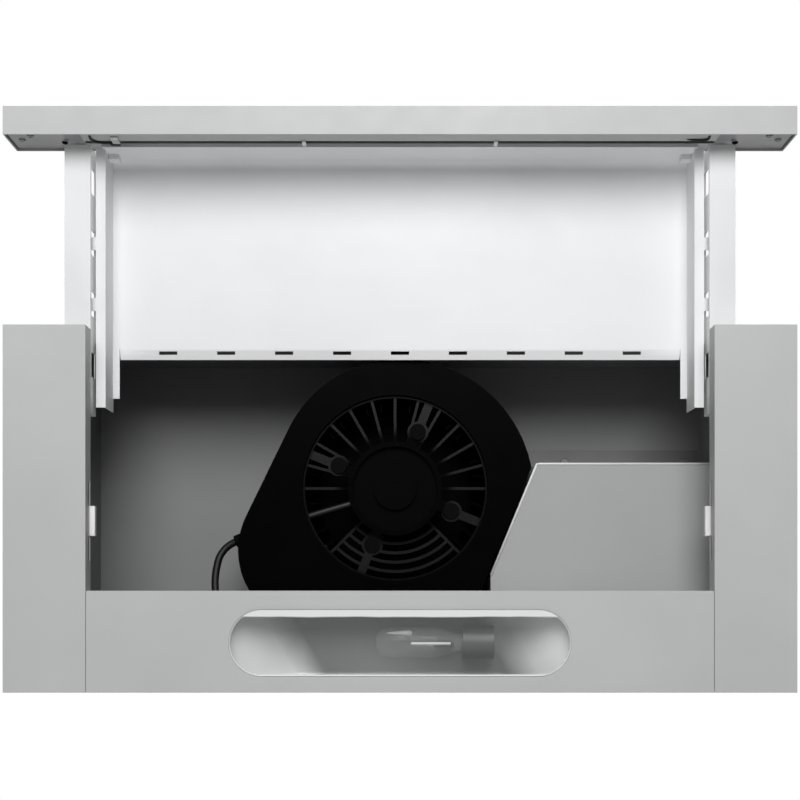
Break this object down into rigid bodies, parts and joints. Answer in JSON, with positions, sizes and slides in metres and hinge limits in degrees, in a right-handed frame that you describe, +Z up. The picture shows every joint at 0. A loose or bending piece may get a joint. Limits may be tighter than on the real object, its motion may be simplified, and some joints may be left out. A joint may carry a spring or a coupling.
{
  "type": "slide-out cooker hood",
  "caption": "Built-in slide-out cooker hood: steel casing with lamp strip, pull-out drawer on ball slides, scroll blower with round outlet, filters removed.",
  "frame": {"origin": "on the outer face of the rear wall, mid-width, level with the top of the underside trim, where the cabinet's underside rests", "axes": "+X to the hood's right as seen from below with the front edge on top, +Y back to the kitchen wall, +Z up; the drawer pulls out along -Y"},
  "size_m": [0.6, 0.4445, 0.2208],
  "materials": {
    "flange_paint": "satin silver-grey lacquer",
    "casing_paint": "satin light grey powder coat",
    "box_paint": "satin light grey powder coat",
    "white_paint": "satin white powder coat",
    "slide_steel": "zinc plated",
    "ball_steel": "polished",
    "screw_steel": "zinc plated",
    "dark_plate": "satin dark grey",
    "black_plastic": "fine texture",
    "motor_steel": "black lacquer",
    "shaft_steel": "ground",
    "black_rubber": "matt",
    "lead_sheath": "matt sheath",
    "clear_lens": "clear moulded plastic",
    "bulb_glass": "clear glass",
    "reflector_steel": "bright pressed steel",
    "holder_plastic": "heat-proof moulding",
    "white_plastic": "moulded",
    "grey_plastic": "moulded",
    "button_plastic": "moulded",
    "board_green": "laminate",
    "capacitor_plastic": "moulded can"
  },
  "bodies": {
    "casing": {"casing_rear": "casing_paint", "casing_front": "casing_paint", "casing_left": "casing_paint", "casing_right": "casing_paint", "casing_top": "casing_paint", "flange_column_left": "flange_paint", "flange_column_right": "flange_paint", "lamp_panel": "flange_paint", "lamp_lens": "clear_lens", "lamp_housing": "reflector_steel", "lamp_bulb": "bulb_glass", "lamp_holder": "holder_plastic", "filter_clips": "white_plastic", "cabinet_bracket_left": "slide_steel", "cabinet_bracket_right": "slide_steel", "slide_fixed_left": "slide_steel", "slide_fixed_right": "slide_steel", "scroll_lower_shell": "black_plastic", "scroll_upper_shell": "black_plastic", "shell_clips": "black_plastic", "inlet_grille": "black_plastic", "motor": "motor_steel", "motor_rubbers": "black_rubber", "outlet_spout": "black_plastic", "hanger_screws": "screw_steel", "electrics_cover": "box_paint", "electrics_screws": "screw_steel", "circuit_board": "board_green", "motor_capacitor": "capacitor_plastic", "terminal_block": "white_plastic", "mains_gland": "black_plastic", "motor_lead": "lead_sheath", "lead_grommets": "black_rubber", "drawer_switch": "black_plastic"},
    "drawer": {"drawer_bar": "flange_paint", "drawer_pan": "white_paint", "side_cover_left": "white_paint", "side_cover_right": "white_paint", "slide_brackets": "slide_steel", "slide_moving_left": "slide_steel", "slide_moving_right": "slide_steel", "end_plates": "dark_plate", "drawer_end_stops": "white_plastic", "corner_clips": "white_plastic", "bar_clips": "white_plastic", "bar_screws": "screw_steel", "button_panel": "grey_plastic"},
    "left_cage": {"ball_cage_left": "slide_steel", "slide_balls_left": "ball_steel"},
    "right_cage": {"ball_cage_right": "slide_steel", "slide_balls_right": "ball_steel"},
    "rotor": {"impeller": "black_plastic", "motor_shaft": "shaft_steel"},
    "left_flap": {"damper_flap_left": "black_plastic"},
    "right_flap": {"damper_flap_right": "black_plastic"},
    "switch_button": {"switch_plunger": "white_plastic"},
    "light_button": {"light_button": "button_plastic"},
    "low_speed_button": {"low_speed_button": "button_plastic"},
    "middle_speed_button": {"middle_speed_button": "button_plastic"},
    "high_speed_button": {"high_speed_button": "button_plastic"}
  },
  "joints": [
    {"name": "drawer_slide", "type": "slide", "parent": "casing", "child": "drawer", "axis": [0, 1, 0], "range_m": [0, 0.143]},
    {"name": "left_cage_slide", "type": "slide", "parent": "casing", "child": "left_cage", "axis": [0, 1, 0], "range_m": [0, 0.0715]},
    {"name": "right_cage_slide", "type": "slide", "parent": "casing", "child": "right_cage", "axis": [0, 1, 0], "range_m": [0, 0.0715]},
    {"name": "impeller_spin", "type": "hinge", "parent": "casing", "child": "rotor", "pos_m": [-0.004, -0.16, 0.09], "axis": [0, 0, 1], "continuous": true},
    {"name": "left_flap_hinge", "type": "hinge", "parent": "casing", "child": "left_flap", "pos_m": [-0.0714, -0.11, 0.1786], "axis": [0, 1, 0], "range_deg": [0, 80]},
    {"name": "right_flap_hinge", "type": "hinge", "parent": "casing", "child": "right_flap", "pos_m": [-0.0646, -0.11, 0.1786], "axis": [0, -1, 0], "range_deg": [0, 80]},
    {"name": "switch_press", "type": "slide", "parent": "casing", "child": "switch_button", "axis": [0, 1, 0], "range_m": [0, 0.003], "stiffness_N_per_m": 250},
    {"name": "light_button_press", "type": "slide", "parent": "drawer", "child": "light_button", "axis": [0, 1, 0], "range_m": [0, 0.003], "stiffness_N_per_m": 250},
    {"name": "low_speed_button_press", "type": "slide", "parent": "drawer", "child": "low_speed_button", "axis": [0, 1, 0], "range_m": [0, 0.003], "stiffness_N_per_m": 250},
    {"name": "middle_speed_button_press", "type": "slide", "parent": "drawer", "child": "middle_speed_button", "axis": [0, 1, 0], "range_m": [0, 0.003], "stiffness_N_per_m": 250},
    {"name": "high_speed_button_press", "type": "slide", "parent": "drawer", "child": "high_speed_button", "axis": [0, 1, 0], "range_m": [0, 0.003], "stiffness_N_per_m": 250}
  ],
  "couplings": [
    {"joint": "left_cage_slide", "follows": "drawer_slide", "ratio": 0.5},
    {"joint": "right_cage_slide", "follows": "drawer_slide", "ratio": 0.5}
  ]
}
